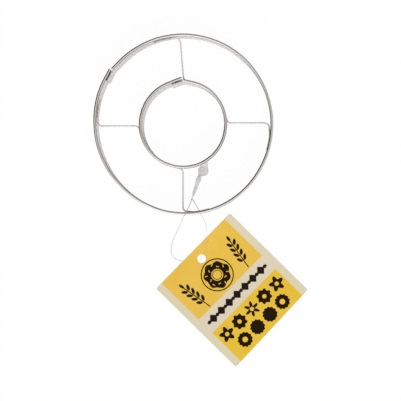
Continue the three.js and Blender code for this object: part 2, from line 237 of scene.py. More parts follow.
class Finish:
    """The node tree of one material or of the world"""

    def __init__(self, owner):
        owner.use_nodes = True
        self.tree = owner.node_tree
        self.tree.nodes.clear()

    def node(self, kind, settings=None, sockets=None, output=0):
        made = self.tree.nodes.new(kind)
        for key, setting in (settings or {}).items():
            setattr(made, key, setting)
        for key, fed in (sockets or {}).items():
            if isinstance(fed, Value):
                self.tree.links.new(fed.socket, made.inputs[key])
            else:
                made.inputs[key].default_value = fed
        return Value(self, made.outputs[output])

    def mix(self, factor, first, second):
        """A colour between two colours"""
        return self.node("ShaderNodeMix", {"data_type": "RGBA"}, {0: factor, 6: first, 7: second}, 2)

    def place(self):
        """The point on the piece, in its own millimetres"""
        point = self.node("ShaderNodeTexCoord", output="Object")
        return self.node("ShaderNodeVectorMath", {"operation": "SCALE"}, {0: point, "Scale": 1000.0})

    def axes(self, vector):
        return [self.node("ShaderNodeSeparateXYZ", None, {0: vector}, axis) for axis in "XYZ"]

    def vector(self, *axes):
        return self.node("ShaderNodeCombineXYZ", None, dict(zip("XYZ", axes)))

    def noise(self, vector, scale, detail=2.0, roughness=0.5):
        sockets = {"Vector": vector, "Scale": scale, "Detail": detail, "Roughness": roughness}
        return self.node("ShaderNodeTexNoise", None, sockets)

    def painted(self, name):
        """The number that a piece holds for each vertex"""
        return self.node("ShaderNodeAttribute", {"attribute_name": name}, None, "Fac")

    def bump(self, height, distance):
        """Distance is in millimetres"""
        return self.node("ShaderNodeBump", None, {"Height": height, "Distance": distance * MM})

    def show(self, shader, output="ShaderNodeOutputMaterial"):
        end = self.tree.nodes.new(output)
        self.tree.links.new(shader.socket, end.inputs["Surface"])


def material(name):
    made = bpy.data.materials.new(name)
    return made, Finish(made)


def shade(red, green, blue):
    """A colour as it looks on a screen, as the linear numbers of a node"""
    def linear(level):
        level /= 255.0
        return level / 12.92 if level <= 0.04045 else ((level + 0.055) / 1.055) ** 2.4
    return (linear(red), linear(green), linear(blue), 1.0)


# Finishes

def tinplate():
    """Bright rolled tinplate: fine marks along the strip, dull patches, weld marks and a bare cut edge"""
    made, f = material("tinplate")
    place = f.place()
    x, y, z = f.axes(place)
    marks = f.noise(f.vector(x * 0.05, y * 0.05, z * 2.4), 1.0, 3.0, 0.6)
    patches = f.noise(place, 0.16, 3.0, 0.55)
    weld = f.painted("weld")
    ring = weld * (1 - weld) * 4.0
    cut = 1 - z.rise(RIM_LIFT + 0.03, RIM_LIFT + 0.12)
    bright = f.mix(patches.rise(0.3, 0.7), (0.71, 0.675, 0.65, 1), (0.78, 0.75, 0.728, 1))
    bright = f.mix(marks.rise(0.35, 0.75) * 0.3, bright, (0.60, 0.575, 0.555, 1))
    bright = f.mix(cut * 0.8, bright, (0.36, 0.35, 0.345, 1))
    bright = f.mix(ring * 0.2, bright, (0.54, 0.48, 0.40, 1))
    bright = f.mix(weld.rise(0.6, 1.0) * 0.25, bright, (0.56, 0.55, 0.54, 1))
    dull = 0.09 + patches.rise(0.35, 0.8) * 0.06 + marks * 0.04 + weld * 0.1 + cut * 0.15
    relief = marks * 0.6 + f.noise(place, 1.6, 2.0) * 0.4
    shader = f.node("ShaderNodeBsdfPrincipled", None, {
        "Base Color": bright, "Metallic": 1.0, "Roughness": dull, "Normal": f.bump(relief, 0.0012),
    })
    f.show(shader)
    return made


def steel_wire():
    """Bright drawn wire with lines along it, a dulled, tinted patch at each weld and painted shade on each
    foot along its wall
    """
    made, f = material("steel_wire")
    place = f.place()
    x, y, z = f.axes(place)
    lines = f.noise(f.vector(x * 0.12, y * 0.12 + z * 3.0, z * 5.0), 1.0, 2.0, 0.6)
    patches = f.noise(place, 0.5, 2.0)
    weld = f.painted("weld")
    pressed = f.painted("foot")
    bright = f.mix(lines.rise(0.3, 0.75), (0.88, 0.865, 0.85, 1), (0.80, 0.785, 0.77, 1))
    # Painted shade: each foot, where the wire lies against the wall, is darker, standing in for the shade in
    # the crease between them
    bright = f.mix(pressed * 0.85, bright, (0.40, 0.375, 0.355, 1))
    bright = f.mix(weld * 0.25, bright, (0.42, 0.375, 0.335, 1))
    dull = 0.42 + patches.rise(0.4, 0.8) * 0.1 + lines * 0.08 + weld * 0.08
    # The painted shade on the feet also takes away some of their metal look
    shader = f.node("ShaderNodeBsdfPrincipled", None, {
        "Base Color": bright, "Metallic": 0.55 - pressed * 0.35, "Roughness": dull,
        "Normal": f.bump(lines, 0.002),
    })
    f.show(shader)
    return made


def moulded_nylon():
    """The lock's milky nylon, clear where the plug is in the bore"""
    made, f = material("moulded_nylon")
    place = f.place()
    x, y, z = f.axes(place)
    bored = (1 - (y * y + z * z).root().rise(0.76, 0.82)) * (1 - x.rise(3.5, 3.6))
    under = 1 - z.rise(-1.34, -1.28)
    tail = under * x.rise(2.6, 3.4) * (1 - abs(y).rise(0.3, 0.5))
    milk = (1 - bored * 0.92) * (1 - tail * 0.7) * (1 - x.rise(3.6, 6.5) * 0.2)
    milk = milk * (0.75 + x.rise(-2.6, -1.2) * 0.25) * (1 - x.rise(10.5, 13.5) * 0.4)
    cloud = f.noise(place, 0.5, 2.0)
    grain = f.noise(place, 6.0, 2.0)
    colour = f.mix(cloud.rise(0.3, 0.7), (0.56, 0.535, 0.515, 1), (0.63, 0.605, 0.585, 1))
    shader = f.node("ShaderNodeBsdfPrincipled", None, {
        "Base Color": colour, "Roughness": 0.42 + grain * 0.1, "IOR": 1.53, "Specular IOR Level": 0.3,
        "Alpha": (0.36 + cloud * 0.06) * milk, "Normal": f.bump(grain, 0.002),
    })
    f.show(shader)
    return made


def clear_nylon():
    """The filament: clear, so that it nearly vanishes on a white ground, and more opaque, so darker, on the
    left strand between the lock and the outer ring's rim
    """
    made, f = material("clear_nylon")
    place = f.place()
    x, y, _ = f.axes(place)
    drawn = f.noise(place, 1.2, 2.0)
    # More opaque, so darker, on the left strand between the lock and the outer ring's rim
    opaque_left_strand = y.rise(-43.0, -37.0) * (1 - x.rise(3.8, 5.2) * 0.8)
    faint = 1 - x.rise(0.5, 3.0)
    over_card = x.rise(4.5, 6.0) * (1 - y.rise(-50.0, -47.0))
    colour = f.mix(drawn.rise(0.3, 0.7), (0.46, 0.45, 0.44, 1), (0.54, 0.53, 0.52, 1))
    shader = f.node("ShaderNodeBsdfPrincipled", None, {
        "Base Color": colour, "Roughness": 0.4 + drawn * 0.1, "IOR": 1.53, "Specular IOR Level": 0.3,
        "Alpha": (0.2 + opaque_left_strand * 0.13 + drawn * 0.04 + faint * 0.09) * (1 - over_card * 0.7),
    })
    f.show(shader)
    return made


INK = (0.008, 0.002, 0.001, 1)
CREAM_MARGIN = shade(213, 203, 174)
CREAM_BAND = shade(214, 203, 179)


def polar(x, y, at_x, at_y):
    """Distance and bearing from a point of the card"""
    across, up = x - at_x, y - at_y
    return (across * across + up * up).root(), up.math("ARCTAN2", up, across)


def inked(depth):
    """1 where depth, in millimetres inside a motif's outline, is above 0"""
    return depth.rise(-0.07, 0.07)


def pastry_ring(x, y, at_x, at_y, radius, hole, scallops):
    """A round pastry with a scalloped edge and a hole"""
    reach, bearing = polar(x, y, at_x, at_y)
    outside = radius + (bearing * scallops).cosine() * (0.06 * radius)
    return inked((outside - reach).least(reach - hole))


def iced_ring(x, y, at_x, at_y):
    """A doughnut: its rim, the icing with a wavy edge and sprinkles left bare on it"""
    reach, bearing = polar(x, y, at_x, at_y)
    edge = 6.15 + (bearing * 7.0 + 0.6).cosine() * 0.38 + (bearing * 3.0).cosine() * 0.2
    icing = inked((edge - reach).least(reach - 2.75))
    rim = inked((7.7 - reach).least(reach - 7.15))
    crumb = inked((2.3 - reach).least(reach - 1.95))
    bare = None
    for turn, away, lean in (
        (0.2, 4.9, 0.9), (0.75, 3.8, 2.2), (1.3, 5.1, 0.3), (1.95, 4.1, 1.4), (2.5, 5.2, 2.7),
        (3.1, 3.9, 0.6), (3.6, 5.0, 1.8), (4.2, 4.2, 2.9), (4.75, 5.2, 1.1), (5.3, 3.9, 0.1), (5.8, 5.0, 2.4),
    ):
        across = x - (at_x + away * math.cos(turn))
        up = y - (at_y + away * math.sin(turn))
        along = across * math.cos(lean) + up * math.sin(lean)
        aside = up * math.cos(lean) - across * math.sin(lean)
        sprinkle = inked((0.62 - abs(along)).least(0.2 - abs(aside)))
        bare = sprinkle if bare is None else bare.most(sprinkle)
    return (icing * (1 - bare)).most(rim).most(crumb)


def petals(x, y, at_x, at_y, radius, count, depth, heart):
    """A flower with a bare heart, or a star where it is deep"""
    reach, bearing = polar(x, y, at_x, at_y)
    outside = radius * (1 - depth) + (bearing * count).cosine() * (depth * radius)
    return inked((outside - reach).least(reach - heart))


def grain_ear(x, y, at_x, at_y, lean, pairs, size):
    """An ear of grain: a stalk with pairs of grains along it"""
    c, s = math.cos(lean) / size, math.sin(lean) / size
    across = (x - at_x) * c + (y - at_y) * s
    up = (y - at_y) * c - (x - at_x) * s
    side = abs(across)
    pitch = 2.15
    length = pairs * pitch
    along = up % pitch - 0.95
    tilt = math.radians(34)
    grain_x = (side - 1.05) * math.cos(tilt) - along * math.sin(tilt)
    grain_y = (side - 1.05) * math.sin(tilt) + along * math.cos(tilt)
    grain = 1 - ((grain_x / 0.55) ** 2.0 + (grain_y / 1.2) ** 2.0).root()
    within = inked(up.least(length - up))
    tip = 1 - ((across / 0.5) ** 2.0 + ((up - length - 0.9) / 1.15) ** 2.0).root()
    stalk = inked((0.19 - side).least(length + 0.4 - up).least(up + 3.0))
    return (inked(grain * 0.5) * within).most(inked(tip * 0.5)).most(stalk)


def card_print(f, x, y):
    """The printed face: two coloured fields on cream, with plain baking motifs"""
    across = x + HOLE_ASIDE  # from the card's middle
    inside = inked(CARD_WIDTH / 2 - CARD_MARGIN - abs(across))
    upper = inked(y - FIELD_BOTTOM) * inside
    lower = inked(BAND_BOTTOM - y) * inside
    band = inked(y - BAND_BOTTOM) * inked(FIELD_BOTTOM - y)
    place = f.vector(x, y, 0.0)
    mottle = f.noise(place, 1.1, 3.0, 0.6)
    wash = f.noise(place, 0.07, 2.0)
    cream = f.mix(band, CREAM_MARGIN, CREAM_BAND)
    cream = f.mix(mottle.rise(0.4, 0.8) * 0.12, cream, shade(202, 191, 160))
    yellow = f.mix(wash.rise(0.35, 0.65), shade(225, 186, 80), shade(223, 183, 72))
    gold = f.mix(wash.rise(0.35, 0.65), shade(225, 186, 63), shade(222, 183, 55))
    field = f.mix(lower, yellow, gold)
    field = f.mix(mottle.rise(0.45, 0.8) * 0.14, field, shade(216, 172, 66))
    ground = f.mix(upper.most(lower), cream, field)

    motif = iced_ring(across, y, 0.0, ICED_ROW)
    for hand in (-1, 1):
        motif = motif.most(grain_ear(across, y, EAR_ASIDE * hand, EAR_ROW, math.radians(-10 * hand), 4, 1.3))
    middle, half = (FIELD_BOTTOM + BAND_BOTTOM) / 2, BAND_PITCH / 2
    row = inked(BAND_REACH - abs(across))
    repeat = (across + half) % BAND_PITCH - half
    lozenge = inked((2.3 - abs(repeat) - abs(y - middle)) * 0.7)
    dot_reach, _ = polar(across % BAND_PITCH - half, y, 0.0, middle)
    motif = motif.most(row * lozenge.most(inked(0.85 - dot_reach)))
    for step, (count, depth) in enumerate(((5, 0.22), (8, 0.1), (6, 0.3), (8, 0.1), (5, 0.22))):
        motif = motif.most(petals(across, y, MOTIF_PITCH * (step - 2), FLOWER_ROW, 3.7, count, depth, 1.0))
    for step, hole in enumerate((1.3, 0.0, 0.0, 1.3)):
        motif = motif.most(pastry_ring(across, y, MOTIF_PITCH * (step - 1.5), PASTRY_ROW, 3.4, hole, 12))
    return f.mix(motif * (0.98 + mottle * 0.02), ground, INK)


def printed_card():
    made, f = material("printed_card")
    place = f.place()
    x, y, _ = f.axes(place)
    fibre = f.noise(place, 5.0, 3.0, 0.65)
    shader = f.node("ShaderNodeBsdfPrincipled", None, {
        "Base Color": card_print(f, x, y), "Roughness": 0.55 + fibre * 0.14, "Specular IOR Level": 0.07,
        "Normal": f.bump(fibre, 0.015),
    })
    f.show(shader)
    return made


def card_stock():
    """The card's cut edge and its bare back"""
    made, f = material("card_stock")
    place = f.place()
    x, y, z = f.axes(place)
    layers = f.noise(f.vector(x * 0.5, y * 0.5, z * 9.0), 1.0, 2.0)
    fibre = f.noise(place, 2.2, 3.0, 0.65)
    colour = f.mix(layers.rise(0.3, 0.7), shade(226, 216, 192), shade(214, 201, 172))
    colour = f.mix(fibre.rise(0.5, 0.8) * 0.2, colour, shade(196, 182, 152))
    shader = f.node("ShaderNodeBsdfPrincipled", None, {
        "Base Color": colour, "Roughness": 0.75 + fibre * 0.15, "Specular IOR Level": 0.2,
        "Normal": f.bump(fibre, 0.03),
    })
    f.show(shader)
    return made


# Meshes

def piece(name, vertices, faces):
    """A smooth object with creases. Vertices are in millimetres."""
    mesh = bpy.data.meshes.new(name)
    mesh.from_pydata([Vector(v) * MM for v in vertices], [], faces)
    mesh.validate()
    mesh.shade_smooth()
    mesh.set_sharp_from_angle(angle=math.radians(CRISP))
    made = bpy.data.objects.new(name, mesh)
    bpy.context.collection.objects.link(made)
    return made


def paint(made, name, levels):
    """A number for each vertex, which a finish reads"""
    layer = made.data.attributes.new(name, "FLOAT", "POINT")
    layer.data.foreach_set("value", levels)


def smooth_spot(distance, radius):
    """1 at a spot's centre, falling to 0 at its radius"""
    share = min(distance / radius, 1.0)
    return (1 - share * share) ** 2


def rows(low, high, count, focus):
    """Heights from low to high, denser about each height in focus"""
    heights = {round(low + (high - low) * i / count, 4) for i in range(count + 1)}
    for middle in focus:
        for i in range(-4, 5):
            height = middle + i * WELD_RADIUS / 4
            if low < height < high:
                heights.add(round(height, 4))
    kept = []
    for height in sorted(heights):
        if not kept or height - kept[-1] > ROW_SPACE or height == high:
            kept.append(height)
    return kept


def fold(centre, height, radius, steps, backwards):
    """Half a circle, without its end points"""
    points = []
    for i in range(1, steps):
        angle = math.pi * (1 - i / steps) if backwards else math.pi * i / steps
        points.append((centre + radius * math.cos(angle), height + radius * math.sin(angle)))
    return points


def hemmed_section(focus):
    """The strip's outer face, hem and inner face as points (distance out from the inner face, height)"""
    shoulder = RING_HEIGHT - HEM / 2
    foot = RING_HEIGHT - HEM_HEIGHT
    e = EDGE_ROUND
    up = rows(e, shoulder, 14, focus)
    wall_out = [(STRIP - e, 0.0)] + [(STRIP, height) for height in up]
    wall_in = [(0.0, height) for height in reversed(up)] + [(e, 0.0)]
    leg = STRIP + HEM_GAP
    hem = fold(HEM / 2, shoulder, HEM_GAP / 2, 8, True)
    hem += [(leg, shoulder), (leg, (shoulder + foot) / 2), (leg, foot + e), (leg + e, foot)]
    hem += [(HEM - e, foot), (HEM, foot + e), (HEM, (shoulder + foot) / 2), (HEM, shoulder)]
    hem += fold(HEM / 2, shoulder, HEM / 2, 16, False)
    return wall_out, hem, wall_in


def lap_swing(distance, lap, radius):
    """How far the covering end stands out at a distance from its tip"""
    past = min(max((distance - lap - NOTCH_SPACE) / LAP_EASE, 0.0), 1.0)
    straight = max(STRAIGHT_END - distance, 0.0)
    return (STRIP + LAP_GAP) * (1 + math.cos(math.pi * past)) / 2 + math.hypot(radius, straight) - radius


def tab_swing(distance, lap, radius):
    """How far the other end stands out at a distance past its notch: straight up to it, then into the ring"""
    straight = min(max(STRAIGHT_TAB + distance, 0.0), STRAIGHT_TAB)
    past = min(max(distance / (lap + NOTCH_SPACE), 0.0), 1.0)
    lift = math.hypot(radius, straight) - radius
    return lift - (lift + TAB_DIP) * past ** 0.8


def out_of_round(lobes, angle):
    """How far a hand-rolled ring stands outside a circle at a bearing"""
    return sum(size * math.cos(count * (angle - crest)) for size, count, crest in lobes)


def ring(name, wall, lap, lap_bearing, welds, waves, lobes, flare):
    """A hemmed strip swept once round from the tip of its covering end, and on as a plain tab.
    Welds are (bearing in radians, height, direction in which the wall is pressed)."""
    turn = 1 / (wall + STRIP / 2)
    tip = math.radians(lap_bearing)
    hem_end = tip + 2 * math.pi - NOTCH_SPACE * turn
    tab_end = tip + 2 * math.pi + lap * turn
    wall_out, hem, wall_in = hemmed_section([height for _, height, _ in welds])
    vertices, faces, marks = [], [], []

    def spot(angle, height):
        """How much a weld marks this point, and how far it presses it"""
        mark, press = 0.0, 0.0
        for bearing, level, way in welds:
            around = math.remainder(angle - bearing, 2 * math.pi) / turn
            share = smooth_spot(math.hypot(around, height - level), WELD_RADIUS)
            mark = max(mark, share)
            press += way * WELD_DENT * share
        return mark, press

    def ripple(angle, height):
        high = height / RING_HEIGHT
        return sum(size * high * math.sin(count * angle + phase) for size, count, phase in waves)

    def section(points, angle):
        start = len(vertices)
        inside = wall + lap_swing((angle - tip) / turn, lap, wall) + out_of_round(lobes, angle)
        inside += tab_swing((angle - hem_end) / turn, lap, wall)
        flared = flare * smooth_spot(abs(math.remainder(angle - FLARE_BEARING, 2 * math.pi)), FLARE_REACH)
        for out, height in points:
            mark, press = spot(angle, height) if out <= STRIP else (0.0, 0.0)
            radius = inside + out + press + ripple(angle, height) + flared * (1 - height / RING_HEIGHT)
            vertices.append((radius * math.cos(angle), radius * math.sin(angle), RIM_LIFT + height))
            marks.append(mark)
        return list(range(start, len(vertices)))

    def skin(near, far):
        for i, first in enumerate(near):
            after = (i + 1) % len(near)
            faces.append((first, far[i], far[after], near[after]))

    def steps(start, stop):
        """Bearings from start to stop, closer together at the welds"""
        angle, found = start, [start]
        while angle < stop:
            near = min(abs(math.remainder(angle - bearing, 2 * math.pi)) / turn for bearing, _, _ in welds)
            stride = FINE_STRIDE if near < WELD_RADIUS + FINE_REACH else STRIDE
            angle += stride * turn
            found.append(min(angle, stop))
        return found

    full = wall_out + hem + wall_in
    ids = section(full, tip)
    faces.append(tuple(ids))
    for angle in steps(tip, hem_end)[1:]:
        ahead = section(full, angle)
        skin(ids, ahead)
        ids = ahead
    out_end, in_start = len(wall_out) - 1, len(wall_out) + len(hem)
    faces.append(tuple(reversed(ids[out_end:in_start + 1])))
    ids = ids[:len(wall_out)] + ids[in_start:]
    for angle in steps(hem_end, tab_end)[1:]:
        ahead = section(wall_out + wall_in, angle)
        skin(ids, ahead)
        ids = ahead
    faces.append(tuple(reversed(ids)))
    made = piece(name, vertices, faces)
    paint(made, "weld", marks)
    return made


def spoke_plan(span, bend):
    """Radii of the lines that a wire's feet follow, distances at which its bends start and bearings at which
    they meet the feet, outer before inner, for a span at an offset"""
    outer = OUTER_WALL - WELD_GAP - WIRE / 2
    inner = INNER_WALL + STRIP + WELD_GAP + FOOT_STAND + WIRE / 2
    outer_start = math.sqrt((outer - bend) ** 2 - (span + bend) ** 2)
    inner_start = math.sqrt((inner + INNER_BEND) ** 2 - (span - INNER_BEND) ** 2)
    outer_touch = math.atan2(span + bend, outer_start)
    inner_touch = math.atan2(span - INNER_BEND, inner_start)
    return outer, inner, outer_start, inner_start, outer_touch, inner_touch


def weld_bearings(on_outer):
    """Where the feet are welded to a ring, in radians"""
    found = []
    for bearing, offset, hand, bend in SPOKES.values():
        outer, inner, _, _, outer_touch, inner_touch = spoke_plan(offset * hand, bend)
        if on_outer:
            turns = [outer_touch + distance / outer for distance in OUTER_WELDS]
        else:
            turns = [inner_touch - distance / inner for distance in INNER_WELDS]
        found += [math.radians(bearing) + hand * turn for turn in turns]
    return found


def ring_welds(wall, lap, tip, on_outer):
    """A ring's welds to the feet, which press it away from the wires, and those of its lap"""
    way = 1 if on_outer else -1
    welds = [(bearing, RING_HEIGHT - WIRE_DROP, way) for bearing in weld_bearings(on_outer)]
    middle = math.radians(tip) + lap / 2 / (wall + STRIP / 2)
    return welds + [(middle, height, -1) for height in LAP_WELD_HEIGHTS]


def tube(path, radius_at, sides, shift_at=None):
    """Sections along a path. Each has a radius, and its points may be shifted."""
    vertices, faces = [], []
    count = len(path)
    for i, point in enumerate(path):
        ahead = (path[min(i + 1, count - 1)] - path[max(i - 1, 0)]).normalized()
        across = Vector((ahead.y, -ahead.x, 0.0))
        for k in range(sides):
            angle = 2 * math.pi * k / sides
            offset = across * math.cos(angle) + Vector((0, 0, math.sin(angle)))
            place = point + offset * radius_at(i)
            if shift_at:
                place = place + shift_at(i, offset)
            vertices.append(place)
    for i in range(count - 1):
        for k in range(sides):
            after = (k + 1) % sides
            a, b = i * sides, (i + 1) * sides
            faces.append((a + k, a + after, b + after, b + k))
    faces.append(tuple(reversed(range(sides))))
    faces.append(tuple(range((count - 1) * sides, count * sides)))
    return vertices, faces


def arc(centre, radius, start, stop, steps):
    points = []
    for i in range(steps + 1):
        angle = start + (stop - start) * i / steps
        x, y = centre[0] + radius * math.cos(angle), centre[1] + radius * math.sin(angle)
        points.append(Vector((x, y, 0.0)))
    return points


def foot(radius, start, length, sink, steps):
    """The line of a foot from where it meets the wall, into which it sinks"""
    points = []
    for i in range(steps + 1):
        angle = start + length / radius * i / steps
        share = min(abs(length) * i / steps / FOOT_EASE, 1.0)
        run = radius + sink * share * share * (3 - 2 * share)
        points.append(Vector((run * math.cos(angle), run * math.sin(angle), 0.0)))
    return points


def spoke(name, bearing, offset, hand, bend):
    """Wire bent into a Z, in its own frame along +X, with its feet pressed to the walls at the welds"""
    span = offset * hand
    outer, inner, outer_start, inner_start, outer_touch, inner_touch = spoke_plan(span, bend)
    path = foot(inner, inner_touch, -INNER_FOOT, -FOOT_SINK - FOOT_STAND, 24)[::-1]
    path += arc((inner_start, span - INNER_BEND), INNER_BEND, math.pi + inner_touch, math.pi / 2, 10)[1:]
    path += [Vector((inner_start + (outer_start - inner_start) * i / 16, span, 0)) for i in range(1, 17)]
    path += arc((outer_start, span + bend), bend, -math.pi / 2, outer_touch, 10)[1:]
    path += foot(outer, outer_touch, OUTER_FOOT, FOOT_SINK, 34)[1:]
    first = (path[1] - path[0]).normalized()
    last = (path[-1] - path[-2]).normalized()
    path = [path[0], path[0] + first * CUT_EASE] + path[1:-1] + [path[-1] - last * CUT_EASE, path[-1]]
    welds = [(inner, inner_touch - distance / inner, -1) for distance in INNER_WELDS]
    welds += [(outer, outer_touch + distance / outer, 1) for distance in OUTER_WELDS]
    places = [(Vector((run * math.cos(angle), run * math.sin(angle), 0)), way) for run, angle, way in welds]
    ends = {0, len(path) - 1}

    def radius_at(i):
        return WIRE / 2 - (CUT_ROUND if i in ends else 0.0)

    def on_foot(i):
        """1 where the wire lies in the wall"""
        reach = path[i].length
        off = min(abs(outer + FOOT_SINK - reach), abs(inner - FOOT_STAND - FOOT_SINK - reach))
        return smooth_spot(off, FOOT_SINK)

    def shift_at(i, offset):
        """The wire spreads where it was pressed to the wall, and the weld fills the gap behind it"""
        out = path[i].normalized()
        flat = on_foot(i)
        moved = Vector((0, 0, offset.z)) * flat * FOOT_SPREAD - out * offset.dot(out) * flat * FOOT_FLAT
        for place, way in places:
            share = smooth_spot((path[i] - place).length, WELD_REACH)
            facing = offset.dot(out) * way
            if facing > 0:
                moved += out * way * share * facing * WELD_GAP * WELD_FILL
            moved += Vector((0, 0, offset.z)) * share * WELD_SPREAD
        return moved

    vertices, faces = tube(path, radius_at, WIRE_SIDES, shift_at)
    vertices = [Vector((v.x, v.y * hand, v.z)) for v in vertices]
    for v in vertices:
        reach = math.hypot(v.x, v.y)
        share = min(max((reach - inner) / (outer - inner), 0.0), 1.0)
        angle = math.radians(bearing) + math.atan2(v.y, v.x)
        moved = share * out_of_round(OUTER_LOBES, angle) + (1 - share) * out_of_round(INNER_LOBES, angle)
        grow = 1 + moved / reach
        v.x, v.y = v.x * grow, v.y * grow
    if hand < 0:
        faces = [tuple(reversed(face)) for face in faces]
    made = piece(name, vertices, faces)
    near = [max(smooth_spot((p - place).length, WELD_TINT_REACH) for place, _ in places) for p in path]
    paint(made, "weld", [near[i // WIRE_SIDES] for i in range(len(vertices))])
    paint(made, "foot", [on_foot(i // WIRE_SIDES) for i in range(len(vertices))])
    made.location = (0, 0, WIRE_HEIGHT * MM)
    made.rotation_euler = (0, 0, math.radians(bearing))
    return made


def turned(profile, sides):
    """A solid turned about +X from (radius, distance along the axis), which starts and ends on the axis"""
    vertices = [(profile[0][1], 0.0, 0.0)]
    for radius, along in profile[1:-1]:
        for k in range(sides):
            angle = 2 * math.pi * k / sides
            vertices.append((along, radius * math.cos(angle), radius * math.sin(angle)))
    vertices.append((profile[-1][1], 0.0, 0.0))
    end = len(vertices) - 1
    faces = []
    for k in range(sides):
        after = (k + 1) % sides
        faces.append((0, 1 + after, 1 + k))
        for i in range(len(profile) - 3):
            a, b = 1 + i * sides, 1 + (i + 1) * sides
            faces.append((a + k, a + after, b + after, b + k))
        last = 1 + (len(profile) - 3) * sides
        faces.append((last + k, last + after, end))
    return vertices, faces


def rounded(points, size, steps=5):
    """A closed outline with its corners rounded off"""
    found = []
    for i, corner in enumerate(points):
        here = Vector(corner)
        back, ahead = Vector(points[i - 1]) - here, Vector(points[(i + 1) % len(points)]) - here
        cut = min(size, back.length * 0.45, ahead.length * 0.45)
        start, stop = here + back.normalized() * cut, here + ahead.normalized() * cut
        for k in range(steps + 1):
            t = k / steps
            found.append(start * (1 - t) ** 2 + here * 2 * t * (1 - t) + stop * t * t)
    return found


def lock_frame():
    """Where the lock's own frame is, in metres, and how it is turned"""
    bearing = math.radians(HEAD_BEARING)
    head = Vector((HEAD_RADIUS * math.cos(bearing), HEAD_RADIUS * math.sin(bearing), HEAD_HEIGHT))
    turn = Euler((0, -math.radians(STEM_PITCH), math.radians(STEM_HEADING)), "XYZ")
    return (head - turn.to_matrix() @ Vector((0, HEAD_ASIDE, 0))) * MM, turn


def set_in_lock(made):
    made.location, made.rotation_euler = lock_frame()
    return made


def curve_through(points, per_span):
    """A smooth line through points, on which a point's pull depends on how far its neighbours are"""
    points = [Vector(p) for p in points]
    padded = [points[0] * 2 - points[1], *points, points[-1] * 2 - points[-2]]
    found = []
    for a, b, c, d in zip(padded, padded[1:], padded[2:], padded[3:]):
        ab, bc, cd = (max((q - p).length ** 0.5, 1e-4) for p, q in ((a, b), (b, c), (c, d)))
        leave = ((b - a) / ab - (c - a) / (ab + bc) + (c - b) / bc) * bc
        reach = ((c - b) / bc - (d - b) / (bc + cd) + (d - c) / cd) * bc
        for i in range(per_span):
            t = i / per_span
            found.append(
                b * (2 * t ** 3 - 3 * t ** 2 + 1) + leave * (t ** 3 - 2 * t ** 2 + t)
                + c * (3 * t ** 2 - 2 * t ** 3) + reach * (t ** 3 - t ** 2)
            )
    found.append(points[-1])
    return found


def merged(name, solids, cut):
    """One piece made of solids that run into each other, less a cut"""
    first = solids[0]
    for tool in solids[1:] + [cut]:
        step = first.modifiers.new("step", "BOOLEAN")
        step.operation = "DIFFERENCE" if tool == cut else "UNION"
        step.solver = "EXACT"
        step.object = tool
    mesh = bpy.data.meshes.new_from_object(first.evaluated_get(bpy.context.evaluated_depsgraph_get()))
    for used in solids + [cut]:
        bpy.data.objects.remove(used)
    mesh.name = name
    mesh.shade_smooth()
    mesh.set_sharp_from_angle(angle=math.radians(CRISP))
    made = bpy.data.objects.new(name, mesh)
    bpy.context.collection.objects.link(made)
    return made


def lock_socket():
    """The head with its bore and its flat nose, and the tail that runs under the stem"""
    turns = [math.pi * i / 32 for i in range(33)]
    ball = [(HEAD / 2 * math.sin(turn), -HEAD / 2 * math.cos(turn)) for turn in turns]
    vertices, faces = turned(ball, 48)
    head = piece("head", [(x, y + HEAD_ASIDE, z) for x, y, z in vertices], faces)
    plan = rounded(NOSE_OUTLINE, 0.5)
    middle = sum(plan, Vector((0, 0))) / len(plan)
    vertices, faces = [], []
    for inset, level in NOSE_LAYERS:
        for point in plan:
            here = point + (middle - point).normalized() * inset
            vertices.append((here.x, here.y + HEAD_ASIDE, level * NOSE_THICK))
    count = len(plan)
    last = len(NOSE_LAYERS) - 1
    for layer in range(last):
        for i in range(count):
            after = (i + 1) % count
            a, b = layer * count, (layer + 1) * count
            faces.append((a + i, a + after, b + after, b + i))
    faces.append(tuple(reversed(range(count))))
    faces.append(tuple(range(last * count, (last + 1) * count)))
    nose = piece("nose", vertices, faces)
    r, reach, ease = COLLAR / 2, COLLAR_REACH, COLLAR_EASE
    collar = piece("collar", *turned([(0, 0), (r, 0), (r, reach - ease), (r - ease, reach), (0, reach)], 48))
    r, end = BORE / 2, COLLAR_REACH - BORE_DEPTH
    mouth = [(r, reach - ease), (r + ease, reach + ease), (0, reach + ease)]
    bore = piece("bore", *turned([(0, end), (r, end), *mouth], 40))
    line = curve_through([
        (0.2 * HEAD, 0, -UNDER_SHOULDER), (COLLAR_REACH, 0, -UNDER_SHOULDER), (STEM_FROM, 0, -UNDER_SHOULDER),
        (STEM_END - STEM_POINT, 0, -UNDER_POINT), (STEM_TIP, 0, -TAIL_OFFSET),
    ], 10)
    tail = piece("tail", *tube(line, lambda i: STRING / 2, 16))
    return set_in_lock(merged("nylon_socket", [head, nose, collar, tail], bore))


